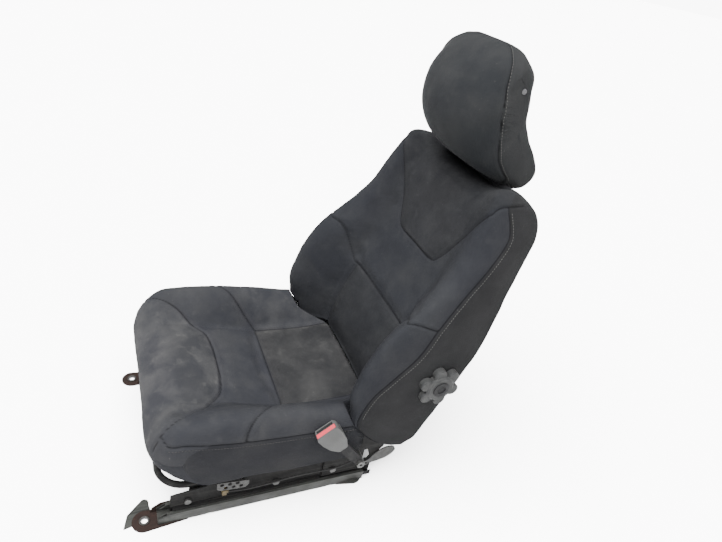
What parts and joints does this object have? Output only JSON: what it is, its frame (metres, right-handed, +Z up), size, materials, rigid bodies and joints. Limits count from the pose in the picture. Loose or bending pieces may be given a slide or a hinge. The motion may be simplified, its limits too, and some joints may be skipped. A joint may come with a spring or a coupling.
{
  "type": "vehicle seat",
  "caption": "Front seat of a car on slide rails, with reclining backrest, height-adjustable head restraint, release bar and belt buckle",
  "frame": {"origin": "centre of the rectangle of the floor bolts, on the floor", "axes": "+X to the occupant's left, +Y to the rear, +Z up"},
  "size_m": [0.5252, 0.8109, 0.9677],
  "materials": {
    "rail_zinc": "zinc plated, worn and dusty",
    "foot_rust": "rusty sheet steel",
    "bright_steel": "plain steel",
    "post_chrome": "polished",
    "frame_black": "black paint, satin",
    "pan_grey": "dark grey paint",
    "wire_steel": "plain steel, dull",
    "wire_black": "black insulation",
    "connector_yellow": "yellow plastic",
    "trim_black": "black grained plastic",
    "knob_grey": "grey grained plastic",
    "core_plastic": "plain moulded plastic",
    "seat_cloth": "charcoal woven cloth over foam",
    "back_cloth": "charcoal woven cloth over foam",
    "head_cloth": "charcoal woven cloth over foam",
    "button_grey": "grey plastic",
    "strap_black": "black webbing and sleeve",
    "buckle_grey": "light grey plastic",
    "button_red": "red translucent plastic"
  },
  "bodies": {
    "base": {"lower_rail_left": "rail_zinc", "lower_rail_right": "rail_zinc", "front_foot_left": "foot_rust", "front_foot_right": "foot_rust", "rear_foot_left": "rail_zinc", "rear_foot_right": "rail_zinc", "foot_bushes": "bright_steel", "foot_tab": "rail_zinc"},
    "seat": {"upper_rail_left": "frame_black", "upper_rail_right": "frame_black", "rail_rollers": "rail_zinc", "side_frame_left": "frame_black", "side_frame_right": "frame_black", "frame_bolts": "bright_steel", "front_cross_tube": "frame_black", "rear_cross_tube": "frame_black", "seat_pan": "pan_grey", "suspension_wires": "wire_steel", "hinge_bracket_left": "frame_black", "hinge_bracket_right": "frame_black", "rear_hook": "wire_steel", "harness_bracket": "wire_steel", "harness_wire": "wire_black", "harness_connector": "connector_yellow", "buckle_bolt": "bright_steel", "seat_cushion": "seat_cloth", "lock_pivots": "bright_steel"},
    "lock": {"release_bar": "frame_black", "lock_lever_left": "wire_steel", "lock_lever_right": "wire_steel"},
    "backrest": {"back_plate_left": "frame_black", "back_plate_right": "frame_black", "back_member_left": "frame_black", "back_member_right": "frame_black", "back_top_tube": "frame_black", "back_lower_cross": "frame_black", "lumbar_wires": "wire_steel", "gear_left": "wire_steel", "gear_right": "wire_steel", "post_sockets": "frame_black", "post_guides": "trim_black", "rear_panel": "trim_black", "backrest_cushion": "back_cloth"},
    "knob": {"recliner_shaft": "bright_steel", "recliner_knob": "knob_grey", "knob_cap": "trim_black"},
    "head": {"head_post_left": "post_chrome", "head_post_right": "post_chrome", "head_core": "core_plastic", "button_ring": "trim_black", "head_cushion": "head_cloth"},
    "head_button": {"head_button": "button_grey"},
    "buckle": {"buckle_stalk": "strap_black", "buckle_sleeve": "strap_black", "buckle_back": "buckle_grey", "buckle_housing": "buckle_grey"},
    "buckle_button": {"buckle_button": "button_red"}
  },
  "joints": [
    {"name": "seat_slide", "type": "slide", "parent": "base", "child": "seat", "axis": [0, 1, 0], "range_m": [-0.11, 0.13]},
    {"name": "lock_lift", "type": "hinge", "parent": "seat", "child": "lock", "pos_m": [0, -0.03, 0.085], "axis": [-1, 0, 0], "range_deg": [0, 5], "stiffness_Nm_per_rad": 40, "springref_deg": -11.46},
    {"name": "recline", "type": "hinge", "parent": "seat", "child": "backrest", "pos_m": [0, 0.353, 0.319], "axis": [-1, 0, 0], "range_deg": [-12, 50]},
    {"name": "knob_turn", "type": "hinge", "parent": "backrest", "child": "knob", "pos_m": [0, 0.353, 0.319], "axis": [-1, 0, 0], "range_deg": [-360, 1500]},
    {"name": "head_raise", "type": "slide", "parent": "backrest", "child": "head", "axis": [0, 0.3584, 0.9336], "range_m": [0, 0.07]},
    {"name": "head_button_press", "type": "slide", "parent": "head", "child": "head_button", "axis": [-1, 0, 0], "range_m": [0, 0.003], "stiffness_N_per_m": 800},
    {"name": "buckle_swing", "type": "hinge", "parent": "seat", "child": "buckle", "pos_m": [0.256, 0.213, 0.11], "axis": [1, 0, 0], "range_deg": [-5, 25]},
    {"name": "buckle_press", "type": "slide", "parent": "buckle", "child": "buckle_button", "axis": [0, 0.6157, -0.788], "range_m": [0, 0.0035], "stiffness_N_per_m": 600}
  ],
  "couplings": [
    {"joint": "knob_turn", "follows": "recline", "ratio": 30}
  ]
}
